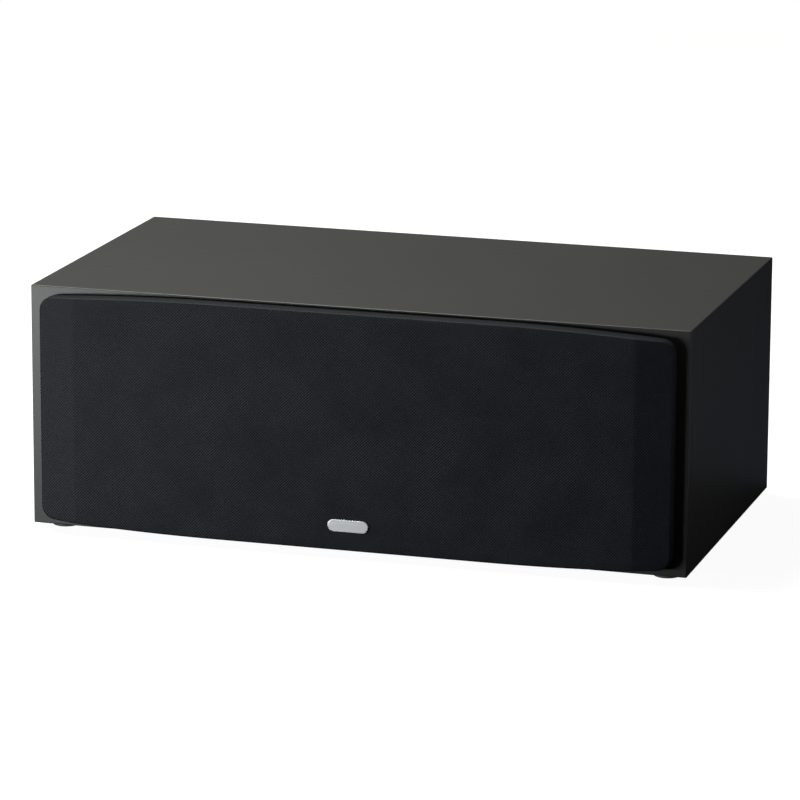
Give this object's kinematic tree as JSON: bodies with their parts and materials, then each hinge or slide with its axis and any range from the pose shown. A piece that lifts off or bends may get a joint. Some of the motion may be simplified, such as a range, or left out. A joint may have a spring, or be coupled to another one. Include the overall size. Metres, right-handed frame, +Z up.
{
  "type": "center channel speaker",
  "caption": "Long low loudspeaker cabinet in a satin black wrap with a proud cloth grille, woofers beside a tweeter, a rear port and screw terminals.",
  "frame": {"origin": "on the floor under the middle of the whole part", "axes": "+X to the viewer's right when facing the grille, -Y out of the grille, +Z up"},
  "size_m": [0.482, 0.2722, 0.179],
  "materials": {
    "cabinet_wrap": "satin, fine speckled vinyl wrap",
    "baffle_paint": "matte painted board",
    "rear_wrap": "matte vinyl wrap",
    "bare_board": "bare fibreboard",
    "wadding": "matte",
    "foot_rubber": "matte",
    "grille_knit": "matte weave",
    "frame_plastic": "matte",
    "badge_metal": "satin",
    "plated_magnet": "bright nickel",
    "basket_paint": "satin",
    "trim_plastic": "satin",
    "surround_rubber": "satin",
    "cone_plastic": "satin",
    "cap_plastic": "gloss",
    "copper_winding": "satin",
    "spider_cloth": "matte",
    "plain_steel": "zinc plated",
    "ferrite": "matte",
    "dome_cloth": "coated, satin",
    "screw_black": "satin",
    "rear_plastic": "matte",
    "plated_brass": "polished",
    "knob_red": "gloss",
    "knob_black": "gloss",
    "board_laminate": "satin",
    "capacitor_sleeve": "gloss",
    "resistor_ceramic": "matte",
    "lead_sleeve": "satin"
  },
  "bodies": {
    "cabinet": {"baffle_magnets": "plated_magnet", "brace_left": "bare_board", "brace_right": "bare_board", "cabinet_bottom": "cabinet_wrap", "cabinet_left": "cabinet_wrap", "cabinet_right": "cabinet_wrap", "cabinet_top": "cabinet_wrap", "crossover_board": "board_laminate", "crossover_capacitors": "capacitor_sleeve", "crossover_coils": "copper_winding", "crossover_resistors": "resistor_ceramic", "foot_front_left": "foot_rubber", "foot_front_right": "foot_rubber", "foot_rear_left": "foot_rubber", "foot_rear_right": "foot_rubber", "front_baffle": "baffle_paint", "panel_screws": "screw_black", "port_tube": "rear_plastic", "post_negative": "plated_brass", "post_positive": "plated_brass", "rear_panel": "rear_wrap", "terminal_cup": "rear_plastic", "tweeter_faceplate": "trim_plastic", "tweeter_magnet": "ferrite", "tweeter_surround": "dome_cloth", "tweeter_top_plate": "plain_steel", "tweeter_yoke": "plain_steel", "wadding_left": "wadding", "wadding_right": "wadding", "wiring": "lead_sleeve", "woofer_left_basket": "basket_paint", "woofer_left_magnet": "ferrite", "woofer_left_spider": "spider_cloth", "woofer_left_surround": "surround_rubber", "woofer_left_top_plate": "plain_steel", "woofer_left_trim_ring": "trim_plastic", "woofer_left_yoke": "plain_steel", "woofer_right_basket": "basket_paint", "woofer_right_magnet": "ferrite", "woofer_right_spider": "spider_cloth", "woofer_right_surround": "surround_rubber", "woofer_right_top_plate": "plain_steel", "woofer_right_trim_ring": "trim_plastic", "woofer_right_yoke": "plain_steel"},
    "grille": {"grille_badge": "badge_metal", "grille_cloth": "grille_knit", "grille_frame": "frame_plastic", "grille_magnets": "plated_magnet"},
    "tweeter_moving": {"tweeter_dome": "dome_cloth", "tweeter_coil": "copper_winding"},
    "woofer_left_moving": {"woofer_left_cone": "cone_plastic", "woofer_left_dust_cap": "cap_plastic", "woofer_left_voice_coil": "copper_winding"},
    "woofer_right_moving": {"woofer_right_cone": "cone_plastic", "woofer_right_dust_cap": "cap_plastic", "woofer_right_voice_coil": "copper_winding"},
    "terminal_core_negative": {"insert_negative": "plated_brass"},
    "terminal_knob_negative": {"knob_negative": "knob_black"},
    "terminal_core_positive": {"insert_positive": "plated_brass"},
    "terminal_knob_positive": {"knob_positive": "knob_red"}
  },
  "joints": [
    {"name": "grille_pull", "type": "slide", "parent": "cabinet", "child": "grille", "axis": [0, -1, 0], "range_m": [0, 0.08]},
    {"name": "woofer_left_excursion", "type": "slide", "parent": "cabinet", "child": "woofer_left_moving", "axis": [0, -1, 0], "range_m": [-0.003, 0.003], "stiffness_N_per_m": 1100, "deforming": ["woofer_left_surround", "woofer_left_spider"]},
    {"name": "woofer_right_excursion", "type": "slide", "parent": "cabinet", "child": "woofer_right_moving", "axis": [0, -1, 0], "range_m": [-0.003, 0.003], "stiffness_N_per_m": 1100, "deforming": ["woofer_right_surround", "woofer_right_spider"]},
    {"name": "tweeter_excursion", "type": "slide", "parent": "cabinet", "child": "tweeter_moving", "axis": [0, -1, 0], "range_m": [-0.0003, 0.0003], "stiffness_N_per_m": 200, "deforming": ["tweeter_surround"]},
    {"name": "knob_negative_travel", "type": "slide", "parent": "cabinet", "child": "terminal_core_negative", "axis": [0, 1, 0], "range_m": [0, 0.005]},
    {"name": "knob_negative_turn", "type": "hinge", "parent": "terminal_core_negative", "child": "terminal_knob_negative", "pos_m": [0.1005, 0.1221, 0.0915], "axis": [0, 1, 0], "range_deg": [0, 1800]},
    {"name": "knob_positive_travel", "type": "slide", "parent": "cabinet", "child": "terminal_core_positive", "axis": [0, 1, 0], "range_m": [0, 0.005]},
    {"name": "knob_positive_turn", "type": "hinge", "parent": "terminal_core_positive", "child": "terminal_knob_positive", "pos_m": [0.1195, 0.1221, 0.0915], "axis": [0, 1, 0], "range_deg": [0, 1800]}
  ],
  "couplings": [
    {"joint": "knob_negative_turn", "follows": "knob_negative_travel", "rad_per_m": 6283.2},
    {"joint": "knob_positive_turn", "follows": "knob_positive_travel", "rad_per_m": 6283.2}
  ]
}
